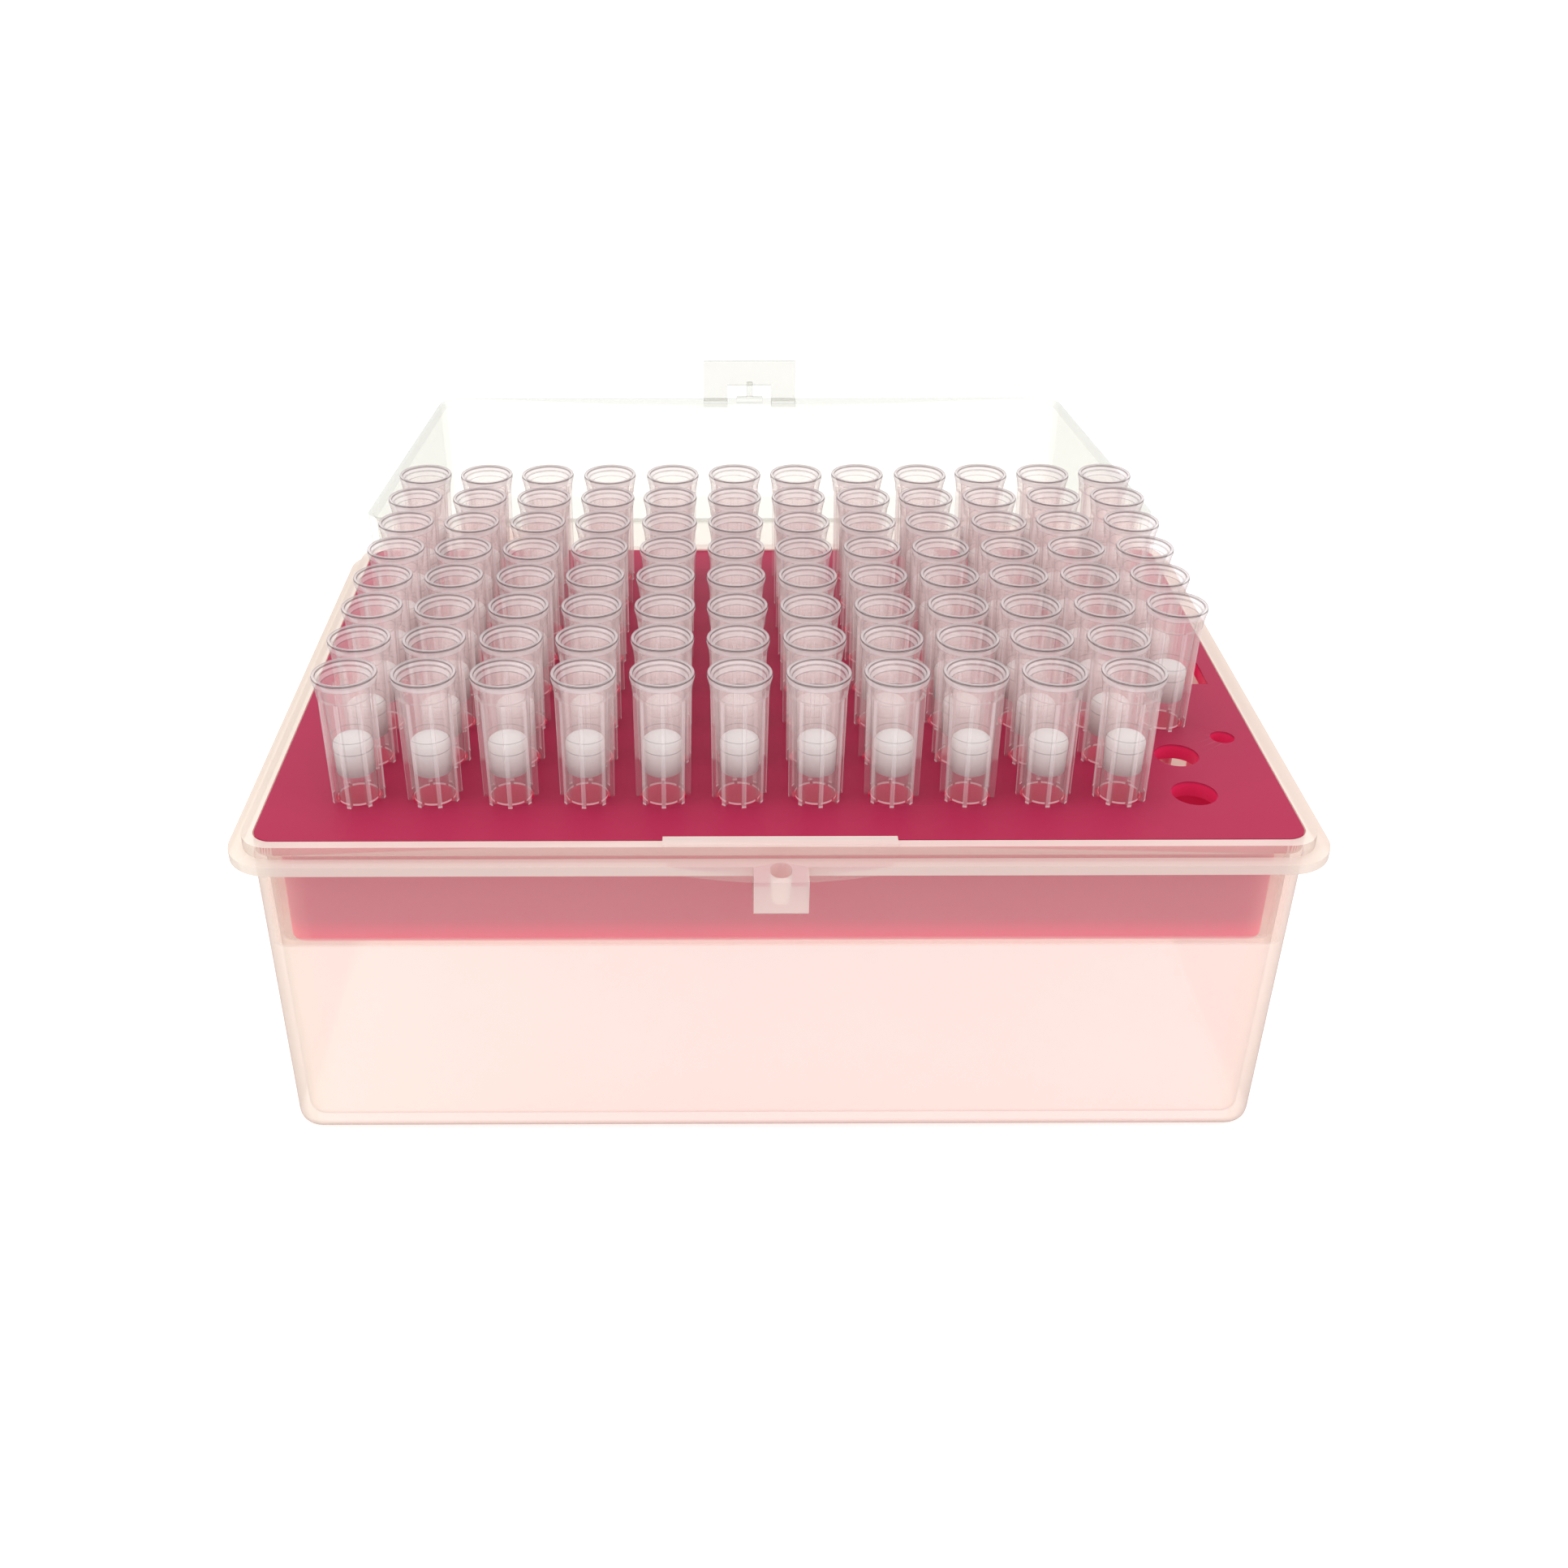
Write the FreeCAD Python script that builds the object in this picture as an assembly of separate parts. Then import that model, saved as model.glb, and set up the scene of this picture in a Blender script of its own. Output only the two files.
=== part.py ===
import FreeCAD, Part
import math
import os

from FreeCAD import Vector

os.makedirs("parts", exist_ok=True)

# Hinged laboratory box of filter pipette tips, with its lid folded back.
# Millimetres, +Z up. The origin is the middle of the base's underside, the latch
# faces -Y and the hinge is at +Y. Three mouldings carry 94 tips:
#   base_box   translucent tray with flange, neck, latch block and hinge ears
#   tip_rack   deck with a hole for each tip, stiffened by a skirt and ribs
#   lid        clear cover with a latch tab in front and two hinge clips behind
#   tips_column_NN and filters_column_NN   the tips and the plugs inside them

# ---------------------------------------------------------------- driving dimensions
PITCH = 9.0                    # spacing of tips, as in every 96-place laboratory plate
COLUMNS = 12
ROWS = 8
USED_PLACES = {(12, 1), (12, 2)}    # column, row of the two holes whose tips are gone

END_MARGIN = 10.7              # from the last tip's centre out to the deck's left or right edge
SIDE_MARGIN = 10.0             # from the last tip's centre out to its front or back edge
DECK_THICKNESS = 2.0
DECK_CORNER = 2.4
DECK_TOP = 43.6                # height of the deck's upper face above the table
TIP_HOLE_RADIUS = 2.7

SKIRT_INSET = 2.1              # from the deck's edge in to the skirt's outer face
SKIRT_WALL = 1.2
SKIRT_DEPTH = 15.5             # from the deck's upper face to the skirt's lower edge
RIB_WALL = 1.2
RIB_DEPTH = 9.0                # below the deck
SLOT_LENGTH = 7.2              # finger slots at the two ends of the deck
SLOT_WIDTH = 3.2
KEY_HOLE_RADIUS = 1.5          # the one small hole that shows which way round it goes
KEY_HOLE_INSET = 3.9           # from the deck's right edge in to its centre

DECK_GAP = 0.15                # all round the deck inside the neck
DECK_SEAT = 0.75               # width of the ledge that carries the deck
NECK_WALL = 1.3
SHELF_DROP = 1.6               # from the neck's top down to the flange that the lid meets
FLANGE_THICKNESS = 1.2
FLANGE_MARGIN = 0.15           # the flange stands out past the lid by this
FLANGE_CORNER = 5.6
BASE_WALL = 1.2
BASE_DRAFT = 0.5               # the walls lean in by this, each side, down to the bottom
WALL_CORNER = 3.2
FOOT_RADIUS = 2.0              # rounding between the walls and the underside
RETAINER_LENGTH = 26.7         # lips on the neck that hold the deck down
RETAINER_HEIGHT = 0.3
RETAINER_REACH = 0.3
GRIP_LENGTH = 26.0             # bow-shaped pad under the front flange
GRIP_RISE = 2.0
GRIP_THICKNESS = 1.0

CATCH_WIDTH = 6.2              # latch block in front of the flange
CATCH_REACH = 3.1
CATCH_HEIGHT = 4.5
CATCH_CHAMFER = 0.4
SOCKET_WIDTH = 2.4             # oval socket in the block, along X and along Y
SOCKET_LENGTH = 3.1
SOCKET_FRONT_WALL = 0.9
SOCKET_DEPTH = 3.6

LID_NECK_GAP = 0.35            # between the neck and the lid around it
LID_REST_GAP = 0.3             # between the closed lid's rim and the flange
LID_WALL = 1.2
LID_HEADROOM = 1.2             # between the tips and the lid's ceiling
LID_DRAFT = 0.8                # the walls lean in by this, each side, up to the ceiling
LID_CORNER = 5.2
LID_EDGE_RADIUS = 2.6
LEAD_IN = 0.5                  # chamfer inside the rim, and its height
LEAD_IN_HEIGHT = 1.0

TAB_WIDTH = 19.0               # latch tab: a bar carried by two bent legs
TAB_THICKNESS = 1.2
TAB_WINDOW = 9.1
TAB_BAR_HEIGHT = 5.0
TAB_BAR_DROP = 6.8             # from the lid's rim down to the bar's lower edge
TAB_ROOT_RISE = 1.9            # from the lid's rim up to the top of the legs
TAB_CATCH_GAP = 0.3
PEG_RADIUS = 0.65              # peg that enters the socket of the latch block
PEG_LENGTH = 3.1
PEG_FOOT_WIDTH = 5.4
PEG_FOOT_HEIGHT = 1.2

HINGE_X = 40.0                 # middle of each hinge, left and right
HINGE_BEHIND_LID = 2.4         # axis behind the closed lid's rear face
HINGE_ABOVE_SHELF = 2.0
HINGE_PIN_RADIUS = 1.2
HINGE_RUNNING_GAP = 0.08
HINGE_SIDE_GAP = 0.3
CLIP_WALL = 0.92
CLIP_WIDTH = 9.0
CLIP_MOUTH = 100.0             # degrees of the clip that are left open
EAR_RADIUS = 1.9
EAR_WALL = 1.8
EAR_LID_GAP = 0.5
EAR_FOOT_DROP = 5.0            # from the shelf down to the ear's lowest point
STOP_GAP = 0.3
STOP_LENGTH = 4.0
OPEN_ANGLE = 186.0             # how far the lid folds back

TIP_ABOVE_DECK = 16.4
TIP_LENGTH = 52.5
TIP_RIM_RADIUS = 3.75
TIP_RIM_HEIGHT = 0.6
TIP_LIP = 0.4                  # width of the flat top of the rim
COLLAR_HEIGHT = 2.7            # rim and flare, down to the tops of the fins
COLLAR_RADIUS = 3.4
MOUTH_DEPTH = 2.0
BARREL_TOP_RADIUS = 2.95
BARREL_FOOT_RADIUS = 2.45
TIP_WALL = 0.35
CONE_BREAK_RADIUS = 1.45       # where the cone starts to narrow faster
CONE_BREAK_DROP = 24.0
POINT_RADIUS = 0.42
POINT_BORE = 0.22
TIP_FLATS = 16                 # the 94 tips are turned in flats, to keep the box light
FIN_COUNT = 8
FIN_THICKNESS = 0.65
FIN_ROOT = 0.15                # how far each fin reaches into the barrel's wall

FILTER_FOOT = 3.6              # heights of the plug above the deck
FILTER_TOP = 7.9
FILTER_GAP = 0.03

# ---------------------------------------------------------------- worked-out places
deck_x = (COLUMNS - 1) / 2 * PITCH + END_MARGIN
deck_y = (ROWS - 1) / 2 * PITCH + SIDE_MARGIN
deck_bottom = DECK_TOP - DECK_THICKNESS

cavity_x = deck_x - DECK_SEAT
cavity_y = deck_y - DECK_SEAT
wall_x = cavity_x + BASE_WALL
wall_y = cavity_y + BASE_WALL
neck_outside = DECK_GAP + NECK_WALL
neck_x = deck_x + neck_outside
neck_y = deck_y + neck_outside
shelf = DECK_TOP - SHELF_DROP
flange_bottom = shelf - FLANGE_THICKNESS

lid_inside_x = neck_x + LID_NECK_GAP
lid_inside_y = neck_y + LID_NECK_GAP
lid_x = lid_inside_x + LID_WALL
lid_y = lid_inside_y + LID_WALL
lid_rim = shelf + LID_REST_GAP
lid_ceiling = DECK_TOP + TIP_ABOVE_DECK + LID_HEADROOM
lid_top = lid_ceiling + LID_WALL

flange_x = lid_x + FLANGE_MARGIN
flange_y = lid_y + FLANGE_MARGIN
catch_front = -(flange_y + CATCH_REACH)
socket_y = catch_front + SOCKET_FRONT_WALL + SOCKET_LENGTH / 2

hinge_y = lid_y + HINGE_BEHIND_LID
hinge_z = shelf + HINGE_ABOVE_SHELF
ear_offset = CLIP_WIDTH / 2 + HINGE_SIDE_GAP

UP = Vector(0, 0, 1)
ALONG_X = Vector(1, 0, 0)


# ---------------------------------------------------------------- shared shapes
def rounded_outline(half_x, half_y, corner, z):
    """Flat outline of a rectangle with round corners, centred on the Z axis."""
    edges = []
    first = last = None
    for index, (side_x, side_y) in enumerate([(1, 1), (-1, 1), (-1, -1), (1, -1)]):
        centre = Vector(side_x * (half_x - corner), side_y * (half_y - corner), z)
        start_angle = 90.0 * index
        arc = Part.makeCircle(corner, centre, UP, start_angle, start_angle + 90.0)
        start, end = arc.firstVertex().Point, arc.lastVertex().Point
        if last is None:
            first = start
        else:
            edges.append(Part.makeLine(last, start))
        edges.append(arc)
        last = end
    edges.append(Part.makeLine(last, first))
    return Part.Wire(edges)


def slab(half_x, half_y, corner, low, high):
    """Straight-sided block with round vertical corners."""
    face = Part.Face(rounded_outline(half_x, half_y, corner, low))
    return face.extrude(UP * (high - low))


def tapered_slab(low_size, low, high_size, high, corner):
    """Block with round corners whose flat sides lean between two sizes."""
    (low_x, low_y), (high_x, high_y) = low_size, high_size
    wedge = Part.makeWedge(-low_x, low, -low_y, -high_y, -high_x,
                           low_x, high, low_y, high_y, high_x)
    wedge.rotate(Vector(0, 0, 0), ALONG_X, 90.0)
    upright = [edge for edge in wedge.Edges if edge.BoundBox.ZLength > (high - low) / 2]
    return wedge.makeFillet(corner, upright)


def block(x_low, x_high, y_low, y_high, z_low, z_high):
    size = (x_high - x_low, y_high - y_low, z_high - z_low)
    return Part.makeBox(*size, Vector(x_low, y_low, z_low))


def side_plate(points, x_low, x_high):
    """Plate cut to an outline given in Y and Z, standing across X."""
    corners = [Vector(x_low, y, z) for y, z in points]
    face = Part.Face(Part.makePolygon(corners + corners[:1]))
    return face.extrude(ALONG_X * (x_high - x_low))


def rod_along_x(radius, x_low, x_high, y, z):
    return Part.makeCylinder(radius, x_high - x_low, Vector(x_low, y, z), ALONG_X)


def round_edges(shape, radius, height):
    """Fillet the closed ring of edges that lies flat at one height."""
    ring = [e for e in shape.Edges
            if abs(e.BoundBox.ZMin - height) < 1e-4 and abs(e.BoundBox.ZMax - height) < 1e-4]
    return shape.makeFillet(radius, ring)


def export(shape, node):
    shape.exportStep("parts/" + node + ".step")


def place_of(column, row):
    """Centre of a hole; column 1 is at the left and row 1 is at the front."""
    x = (column - (COLUMNS + 1) / 2) * PITCH
    y = (row - (ROWS + 1) / 2) * PITCH
    return x, y


# ---------------------------------------------------------------- base
def hinge_ear(x_low, x_high):
    """Ear behind the flange: a round eye, and a heel that stops the opened lid."""
    tilt = math.radians(OPEN_ANGLE - 180.0)
    out = (math.cos(tilt), -math.sin(tilt))
    down = (-math.sin(tilt), -math.cos(tilt))
    reach = HINGE_BEHIND_LID - STOP_GAP
    heel_top = (hinge_y + out[0] * reach, hinge_z + out[1] * reach)
    heel_low = (heel_top[0] + down[0] * STOP_LENGTH, heel_top[1] + down[1] * STOP_LENGTH)
    front = lid_y + EAR_LID_GAP
    inside_flange = flange_y - FLANGE_THICKNESS / 2
    foot_depth = shelf - EAR_FOOT_DROP
    outline = [
        (front, hinge_z), (front, shelf), (inside_flange, shelf), (inside_flange, flange_bottom),
        (wall_y - BASE_WALL / 2, foot_depth), heel_low, heel_top, (hinge_y, hinge_z),
    ]
    eye = rod_along_x(EAR_RADIUS, x_low, x_high, hinge_y, hinge_z)
    return eye.fuse(side_plate(outline, x_low, x_high))


def hinge_bracket(centre_x):
    """Two ears joined by the pin that the lid's clip turns on."""
    inner, outer = ear_offset, ear_offset + EAR_WALL
    left = hinge_ear(centre_x - outer, centre_x - inner)
    right = hinge_ear(centre_x + inner, centre_x + outer)
    pin = rod_along_x(HINGE_PIN_RADIUS, centre_x - inner, centre_x + inner, hinge_y, hinge_z)
    return left.fuse([right, pin])


def latch_block():
    """Block in front of the flange, with an oval socket for the lid's peg."""
    half = CATCH_WIDTH / 2
    low = shelf - CATCH_HEIGHT
    back = -(wall_y - BASE_WALL / 2)
    outline = [
        (back, shelf), (catch_front, shelf), (catch_front, low + CATCH_CHAMFER),
        (catch_front + CATCH_CHAMFER, low), (back, low),
    ]
    return side_plate(outline, -half, half)


def latch_socket():
    """Oval hole, blind at the bottom, open at the top of the latch block."""
    end_radius = SOCKET_WIDTH / 2
    spread = (SOCKET_LENGTH - SOCKET_WIDTH) / 2
    floor = shelf - SOCKET_DEPTH
    ends = [Part.makeCylinder(end_radius, SOCKET_DEPTH, Vector(0, socket_y + offset, floor))
            for offset in (-spread, spread)]
    middle = block(-end_radius, end_radius, socket_y - spread, socket_y + spread, floor, shelf)
    return middle.fuse(ends)


def grip_pad():
    """Bow-shaped pad below the flange, in front, where a thumb lifts the lid."""
    half = GRIP_LENGTH / 2
    face_y = -(flange_y - GRIP_RISE)
    ends = [Vector(side * half, face_y, flange_bottom - GRIP_THICKNESS) for side in (-1, 1)]
    crown = Vector(0, face_y - GRIP_RISE, flange_bottom - GRIP_THICKNESS)
    bow = Part.Arc(ends[0], crown, ends[1]).toShape()
    back_y = -(wall_y - BASE_WALL / 2)
    back = [Vector(side * half, back_y, flange_bottom - GRIP_THICKNESS) for side in (-1, 1)]
    rest = Part.makePolygon([ends[1], back[1], back[0], ends[0]])
    return Part.Face(Part.Wire([bow] + rest.Edges)).extrude(UP * GRIP_THICKNESS)


def deck_retainers():
    """Low lips on the neck, front and back, that lie over the deck's edge."""
    lips = []
    for side in (-1, 1):
        inner, outer = sorted((side * (deck_y - RETAINER_REACH), side * neck_y))
        half = RETAINER_LENGTH / 2
        lips.append(block(-half, half, inner, outer, DECK_TOP, DECK_TOP + RETAINER_HEIGHT))
    return lips


def make_base():
    foot_size = (wall_x - BASE_DRAFT, wall_y - BASE_DRAFT)
    shell = tapered_slab(foot_size, 0.0, (wall_x, wall_y), flange_bottom, WALL_CORNER)
    shell = round_edges(shell, FOOT_RADIUS, 0.0)

    floor_size = (cavity_x - BASE_DRAFT, cavity_y - BASE_DRAFT)
    hollow_corner = WALL_CORNER - BASE_WALL / 2
    cavity = tapered_slab(floor_size, BASE_WALL, (cavity_x, cavity_y), deck_bottom, hollow_corner)
    cavity = round_edges(cavity, FOOT_RADIUS - BASE_WALL / 2, BASE_WALL)

    neck_corner = DECK_CORNER + neck_outside
    flange = slab(flange_x, flange_y, FLANGE_CORNER, flange_bottom, shelf)
    neck = slab(neck_x, neck_y, neck_corner, flange_bottom, DECK_TOP)
    deck_room = slab(deck_x + DECK_GAP, deck_y + DECK_GAP, DECK_CORNER + DECK_GAP,
                     deck_bottom, DECK_TOP)
    brackets = [hinge_bracket(side * HINGE_X) for side in (-1, 1)]
    solid = shell.fuse([flange, neck, latch_block(), grip_pad()] + brackets)
    solid = solid.cut([cavity, deck_room, latch_socket()])
    return solid.fuse(deck_retainers()).removeSplitter()


# ---------------------------------------------------------------- rack
def make_rack():
    deck = slab(deck_x, deck_y, DECK_CORNER, deck_bottom, DECK_TOP)
    skirt_x, skirt_y = deck_x - SKIRT_INSET, deck_y - SKIRT_INSET
    skirt_low = DECK_TOP - SKIRT_DEPTH
    inner_x, inner_y = skirt_x - SKIRT_WALL, skirt_y - SKIRT_WALL
    inner_corner = DECK_CORNER - SKIRT_WALL / 2
    skirt = slab(skirt_x, skirt_y, DECK_CORNER, skirt_low, deck_bottom)
    skirt = skirt.cut(slab(inner_x, inner_y, inner_corner, skirt_low, deck_bottom))

    half_rib = RIB_WALL / 2
    ribs = []
    for side in (-1, 1):
        middle = side * (ROWS / 2 - 1) * PITCH
        ribs.append(block(-inner_x - half_rib, inner_x + half_rib, middle - half_rib,
                          middle + half_rib, deck_bottom - RIB_DEPTH, deck_bottom))
    solid = deck.fuse([skirt] + ribs)

    openings = []
    for column in range(1, COLUMNS + 1):
        for row in range(1, ROWS + 1):
            x, y = place_of(column, row)
            openings.append(Part.makeCylinder(TIP_HOLE_RADIUS, DECK_THICKNESS,
                                              Vector(x, y, deck_bottom)))
    for side in (-1, 1):
        x_low, x_high = sorted((side * (skirt_x - SLOT_WIDTH), side * skirt_x))
        openings.append(block(x_low, x_high, -SLOT_LENGTH / 2, SLOT_LENGTH / 2,
                              skirt_low, DECK_TOP))
    key_place = Vector(deck_x - KEY_HOLE_INSET, -2 * PITCH, deck_bottom)
    openings.append(Part.makeCylinder(KEY_HOLE_RADIUS, DECK_THICKNESS, key_place))
    return solid.cut(openings).removeSplitter()


# ---------------------------------------------------------------- lid
def hinge_clip(centre_x):
    """Open ring that snaps over the base's pin, on a short web from the lid's wall."""
    low, high = centre_x - CLIP_WIDTH / 2, centre_x + CLIP_WIDTH / 2
    bore = HINGE_PIN_RADIUS + HINGE_RUNNING_GAP
    outside = bore + CLIP_WALL
    ring = rod_along_x(outside, low, high, hinge_y, hinge_z)
    web = block(low, high, lid_y - LID_WALL / 2, hinge_y - bore, hinge_z - bore, hinge_z + outside)
    solid = ring.fuse(web).cut(rod_along_x(bore, low, high, hinge_y, hinge_z))

    # The mouth looks back and down when the lid is shut.
    middle, half = math.radians(-45.0), math.radians(CLIP_MOUTH / 2)
    far = 2 * outside
    rays = [(hinge_y + far * math.cos(a), hinge_z + far * math.sin(a))
            for a in (middle - half, middle, middle + half)]
    return solid.cut(side_plate([(hinge_y, hinge_z)] + rays, low, high))


def latch_tab():
    """Finger bar on two bent legs, with the peg and its foot between them."""
    inside = catch_front - TAB_CATCH_GAP
    outside = inside - TAB_THICKNESS
    low, high = lid_rim - TAB_BAR_DROP, lid_rim + TAB_ROOT_RISE
    bar_top = low + TAB_BAR_HEIGHT
    wall_middle = -(lid_y - LID_WALL / 2)
    half, window = TAB_WIDTH / 2, TAB_WINDOW / 2

    pieces = [block(-half, half, outside, inside, low, bar_top)]
    for x_low, x_high in ((-half, -window), (window, half)):
        pieces.append(block(x_low, x_high, outside, inside, bar_top, high))
        pieces.append(block(x_low, x_high, inside, wall_middle, high - TAB_THICKNESS, high))
    foot = PEG_FOOT_WIDTH / 2
    peg_end = PEG_RADIUS * 2
    pieces.append(block(-foot, foot, socket_y - peg_end, wall_middle,
                        lid_rim, lid_rim + PEG_FOOT_HEIGHT))
    pieces.append(Part.makeCylinder(PEG_RADIUS, PEG_LENGTH,
                                    Vector(0, socket_y, lid_rim - PEG_LENGTH)))
    return pieces


def make_lid():
    """The lid as it sits when shut; it is folded back when it is exported."""
    top_size = (lid_x - LID_DRAFT, lid_y - LID_DRAFT)
    shell = tapered_slab((lid_x, lid_y), lid_rim, top_size, lid_top, LID_CORNER)
    shell = round_edges(shell, LID_EDGE_RADIUS, lid_top)

    hollow_corner = LID_CORNER - LID_WALL
    ceiling_size = (lid_inside_x - LID_DRAFT, lid_inside_y - LID_DRAFT)
    hollow = tapered_slab((lid_inside_x, lid_inside_y), lid_rim, ceiling_size, lid_ceiling,
                          hollow_corner)
    hollow = round_edges(hollow, LID_EDGE_RADIUS - LID_WALL, lid_ceiling)
    mouth = tapered_slab((lid_inside_x + LEAD_IN, lid_inside_y + LEAD_IN), lid_rim,
                         (lid_inside_x, lid_inside_y), lid_rim + LEAD_IN_HEIGHT,
                         hollow_corner + LEAD_IN)
    clips = [hinge_clip(side * HINGE_X) for side in (-1, 1)]
    solid = shell.fuse(latch_tab() + clips).cut([hollow, mouth])
    return solid.removeSplitter()


def fold_back(shape):
    opened = shape.copy()
    opened.rotate(Vector(0, hinge_y, hinge_z), ALONG_X, -OPEN_ANGLE)
    return opened


# ---------------------------------------------------------------- tips and plugs
def bore_radius(height):
    """Radius inside the barrel at a height above the deck."""
    mouth_height = TIP_ABOVE_DECK - MOUTH_DEPTH
    foot = BARREL_FOOT_RADIUS - TIP_WALL
    slope = (BARREL_TOP_RADIUS - BARREL_FOOT_RADIUS) / (TIP_ABOVE_DECK - COLLAR_HEIGHT)
    return foot + slope * min(height, mouth_height)


def ring_of_corners(radius, z):
    """Corners of a level polygon of TIP_FLATS sides; a fin meets every other side squarely."""
    step = 2 * math.pi / TIP_FLATS
    turns = [(index + 0.5) * step for index in range(TIP_FLATS)]
    return [Vector(radius * math.cos(turn), radius * math.sin(turn), z) for turn in turns]


def turned(points):
    """Hollow solid round the Z axis from a closed outline in radius and height."""
    rings = [ring_of_corners(radius, z) for radius, z in points]
    faces = []
    for ring, following in zip(rings, rings[1:] + rings[:1]):
        for side in range(TIP_FLATS):
            corners = [ring[side - 1], ring[side], following[side], following[side - 1]]
            faces.append(Part.Face(Part.makePolygon(corners + corners[:1])))
    return Part.Solid(Part.Shell(faces))


def make_tip():
    """One tip, its eight feet standing on a deck whose upper face is at Z = 0."""
    top = TIP_ABOVE_DECK
    point = top - TIP_LENGTH
    fin_top = top - COLLAR_HEIGHT
    mouth = top - MOUTH_DEPTH
    body = turned([
        (POINT_RADIUS, point), (CONE_BREAK_RADIUS, -CONE_BREAK_DROP), (BARREL_FOOT_RADIUS, 0),
        (BARREL_TOP_RADIUS, fin_top), (COLLAR_RADIUS, fin_top),
        (TIP_RIM_RADIUS, top - TIP_RIM_HEIGHT), (TIP_RIM_RADIUS, top),
        (TIP_RIM_RADIUS - TIP_LIP, top), (bore_radius(mouth), mouth), (bore_radius(0), 0),
        (CONE_BREAK_RADIUS - TIP_WALL, -CONE_BREAK_DROP), (POINT_BORE, point),
    ])
    fin_outline = [
        Vector(BARREL_FOOT_RADIUS - FIN_ROOT, 0, 0), Vector(COLLAR_RADIUS, 0, 0),
        Vector(COLLAR_RADIUS, 0, fin_top), Vector(BARREL_TOP_RADIUS - FIN_ROOT, 0, fin_top),
    ]
    plate = Part.Face(Part.makePolygon(fin_outline + fin_outline[:1]))
    plate.translate(Vector(0, -FIN_THICKNESS / 2, 0))
    fin = plate.extrude(Vector(0, FIN_THICKNESS, 0))
    fins = []
    for index in range(FIN_COUNT):
        copy = fin.copy()
        copy.rotate(Vector(0, 0, 0), UP, 360.0 / FIN_COUNT * index)
        fins.append(copy)
    return body.fuse(fins).removeSplitter()


def make_filter():
    """Porous plug that stops spray, pressed into the barrel above the deck."""
    corners = ring_of_corners(bore_radius(FILTER_FOOT) - FILTER_GAP, FILTER_FOOT)
    face = Part.Face(Part.makePolygon(corners + corners[:1]))
    return face.extrude(UP * (FILTER_TOP - FILTER_FOOT))


def column_of(shape, column):
    """The pieces of one column, as a pipette with eight channels takes them."""
    copies = []
    for row in range(1, ROWS + 1):
        if (column, row) in USED_PLACES:
            continue
        x, y = place_of(column, row)
        copies.append(shape.translated(Vector(x, y, DECK_TOP)))
    return Part.makeCompound(copies)


export(make_base(), "base_box")
export(make_rack(), "tip_rack")
export(fold_back(make_lid()), "lid")
tip = make_tip()
plug = make_filter()
for column in range(1, COLUMNS + 1):
    export(column_of(tip, column), "tips_column_%02d" % column)
    export(column_of(plug, column), "filters_column_%02d" % column)
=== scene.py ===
import math
import random

import bpy
from mathutils import Matrix, Vector


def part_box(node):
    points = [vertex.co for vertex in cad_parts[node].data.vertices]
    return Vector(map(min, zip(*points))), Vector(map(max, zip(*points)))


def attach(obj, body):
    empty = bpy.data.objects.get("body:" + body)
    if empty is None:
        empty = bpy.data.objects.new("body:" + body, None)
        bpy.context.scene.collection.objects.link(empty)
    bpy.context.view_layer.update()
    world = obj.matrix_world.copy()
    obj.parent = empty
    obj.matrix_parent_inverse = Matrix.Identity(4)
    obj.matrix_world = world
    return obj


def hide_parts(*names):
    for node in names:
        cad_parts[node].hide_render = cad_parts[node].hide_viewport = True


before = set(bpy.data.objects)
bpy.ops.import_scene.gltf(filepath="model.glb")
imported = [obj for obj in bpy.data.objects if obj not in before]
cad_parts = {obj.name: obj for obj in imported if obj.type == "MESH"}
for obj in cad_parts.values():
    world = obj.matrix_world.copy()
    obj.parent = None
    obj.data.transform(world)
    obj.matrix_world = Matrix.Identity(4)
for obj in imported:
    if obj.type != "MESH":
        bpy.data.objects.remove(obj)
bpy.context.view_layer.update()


# ---------------------------------------------------------------- table and light
# The box stands on a white table with a white wall far behind it. One broad lamp
# above and two weak ones at the sides keep its shadows soft.
def emptied_material(name):
    """A new material whose tree holds only its output node."""
    material = bpy.data.materials.new(name)
    material.use_nodes = True
    tree = material.node_tree
    for node in list(tree.nodes):
        if node.type != "OUTPUT_MATERIAL":
            tree.nodes.remove(node)
    return material, tree, tree.nodes["Material Output"]


def fill(tree, node, settings):
    """Fill slots of a node, each with a number, a colour or what another node gives."""
    for slot, value in settings.items():
        if isinstance(value, bpy.types.NodeSocket):
            tree.links.new(value, node.inputs[slot])
        elif isinstance(value, tuple):
            node.inputs[slot].default_value = (*value, 1)
        else:
            node.inputs[slot].default_value = value


def added(tree, kind, settings):
    """A new node with its slots filled."""
    node = tree.nodes.new(kind)
    fill(tree, node, settings)
    return node


def worked_out(tree, operation, first, second=0.0):
    """What a Math node gives for two values."""
    node = tree.nodes.new("ShaderNodeMath")
    node.operation = operation
    fill(tree, node, {0: first, 1: second})
    return node.outputs[0]


def spread(tree, value, start, end, low=0.0, high=1.0):
    """A value that runs from low to high while the given one runs from start to end."""
    return added(tree, "ShaderNodeMapRange", {
        "Value": value, "From Min": start, "From Max": end,
        "To Min": low, "To Max": high}).outputs[0]


def mixed_level(tree, share, first, second):
    """Two brightnesses mixed, with this share of the second."""
    node = tree.nodes.new("ShaderNodeMix")
    node.data_type = "FLOAT"
    fill(tree, node, {0: share, 2: first, 3: second})
    return node.outputs[0]


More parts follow.
